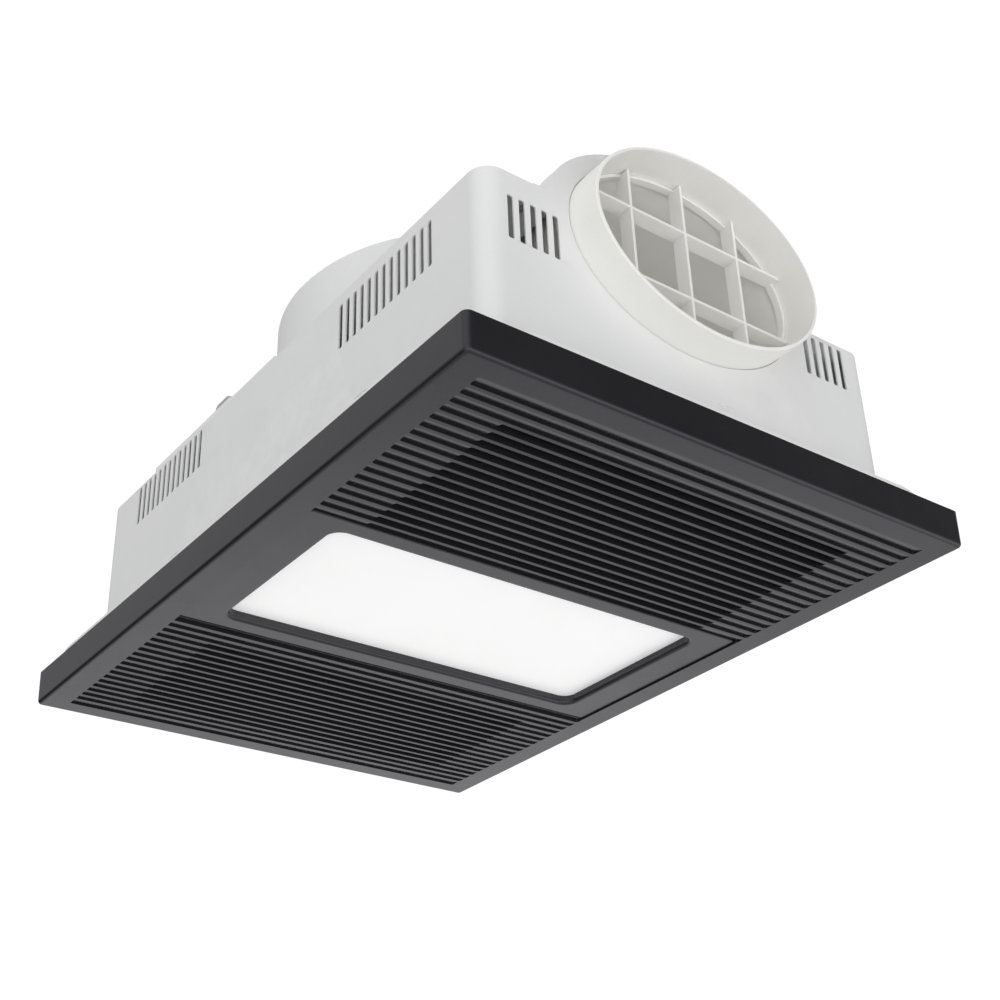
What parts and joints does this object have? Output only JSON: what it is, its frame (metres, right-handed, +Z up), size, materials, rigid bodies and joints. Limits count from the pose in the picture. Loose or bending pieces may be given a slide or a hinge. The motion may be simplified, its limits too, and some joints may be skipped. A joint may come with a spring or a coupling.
{
  "type": "bathroom heater fan light",
  "caption": "Ceiling unit that heats, ventilates and lights a bathroom, with a dark grille, an opal light panel, a white housing and an oval duct collar.",
  "frame": {"origin": "centre of the four ceiling screw holes, on the mounting frame's top face, which touches the ceiling", "axes": "+Z up into the ceiling void, +Y along the long side and away from the duct collar, +X to the right seen from the duct side"},
  "size_m": [0.3612, 0.5152, 0.2185],
  "materials": {
    "fascia_plastic": "fine-textured charcoal moulding",
    "bezel_plastic": "fine-textured charcoal moulding",
    "opal": "opal light diffuser",
    "white_paint": "white powder coat on sheet steel",
    "white_plastic": "white moulding",
    "cream_plastic": "off-white moulding",
    "grey_plastic": "warm grey moulding",
    "galvanised": "galvanised sheet",
    "spring_steel": "spring steel",
    "screw_steel": "zinc plated",
    "motor_steel": "painted motor can",
    "black_plastic": "black moulding",
    "dark_clip": "dark grey clip",
    "rubber": "black rubber",
    "brass": "brass",
    "aluminium": "bare aluminium",
    "ceramic_white": "glazed white ceramic",
    "board_white": "white solder mask on aluminium",
    "board_green": "green circuit board",
    "led": "phosphor",
    "driver_white": "white driver case"
  },
  "bodies": {
    "root": {"mounting_frame": "white_plastic", "housing": "white_paint", "blower_cover": "white_paint", "duct_spigot": "cream_plastic", "spigot_grid": "cream_plastic", "damper_pin": "spring_steel", "damper_spring": "spring_steel", "scroll_pan": "galvanised", "scroll_tongue": "black_plastic", "inlet_ring": "galvanised", "exhaust_motor": "motor_steel", "exhaust_bearing": "brass", "motor_grommets": "rubber", "motor_screws": "screw_steel", "cover_screws": "screw_steel", "frame_screws": "screw_steel", "partition": "galvanised", "heater_housing": "galvanised", "heater_inlet_ring": "galvanised", "heater_motor": "motor_steel", "heater_bearing": "brass", "heater_screws": "screw_steel", "heater_tubes": "aluminium", "heater_fins": "aluminium", "heater_end_caps": "ceramic_white", "thermal_cutout": "black_plastic", "terminal_box": "galvanised", "terminal_cover": "white_paint", "terminal_block": "ceramic_white", "terminal_block_screws": "brass", "cable_gland": "black_plastic", "gland_nut": "black_plastic", "run_capacitor": "black_plastic", "capacitor_strap": "galvanised", "control_board": "board_green", "board_posts": "white_plastic", "relays": "black_plastic", "wiring_channel": "white_plastic", "cable_clip": "dark_clip"},
    "exhaust_rotor": {"impeller_hub": "black_plastic", "impeller_ring": "black_plastic", "impeller_blades": "black_plastic", "exhaust_shaft": "screw_steel", "impeller_nut": "brass"},
    "heater_rotor": {"heater_wheel_hub": "galvanised", "heater_wheel_ring": "galvanised", "heater_wheel_blades": "galvanised", "heater_shaft": "screw_steel"},
    "damper_left": {"damper_leaf_left": "grey_plastic"},
    "damper_right": {"damper_leaf_right": "grey_plastic"},
    "fascia_assembly": {"fascia": "fascia_plastic", "light_bezel": "bezel_plastic", "diffuser": "opal", "led_tray": "galvanised", "led_board": "board_white", "led_chips": "led", "fascia_screws": "screw_steel", "led_driver": "driver_white", "fascia_clips": "spring_steel"}
  },
  "joints": [
    {"name": "exhaust_spin", "type": "hinge", "parent": "root", "child": "exhaust_rotor", "pos_m": [-0.006, -0.0113, 0.1234], "axis": [0, 0, 1], "continuous": true},
    {"name": "heater_spin", "type": "hinge", "parent": "root", "child": "heater_rotor", "pos_m": [-0.11, 0.175, 0.0714], "axis": [1, 0, 0], "continuous": true},
    {"name": "damper_left_swing", "type": "hinge", "parent": "root", "child": "damper_left", "pos_m": [-0.00015, -0.135, 0.1174], "axis": [0, 0, 1], "range_deg": [0, 78], "stiffness_Nm_per_rad": 0.004, "springref_deg": -14.32},
    {"name": "damper_right_swing", "type": "hinge", "parent": "root", "child": "damper_right", "pos_m": [-0.00015, -0.135, 0.1174], "axis": [0, 0, 1], "range_deg": [-78, 0], "stiffness_Nm_per_rad": 0.004, "springref_deg": 14.32},
    {"name": "fascia_drop", "type": "slide", "parent": "root", "child": "fascia_assembly", "axis": [0, 0, -1], "range_m": [0, 0.09]}
  ]
}
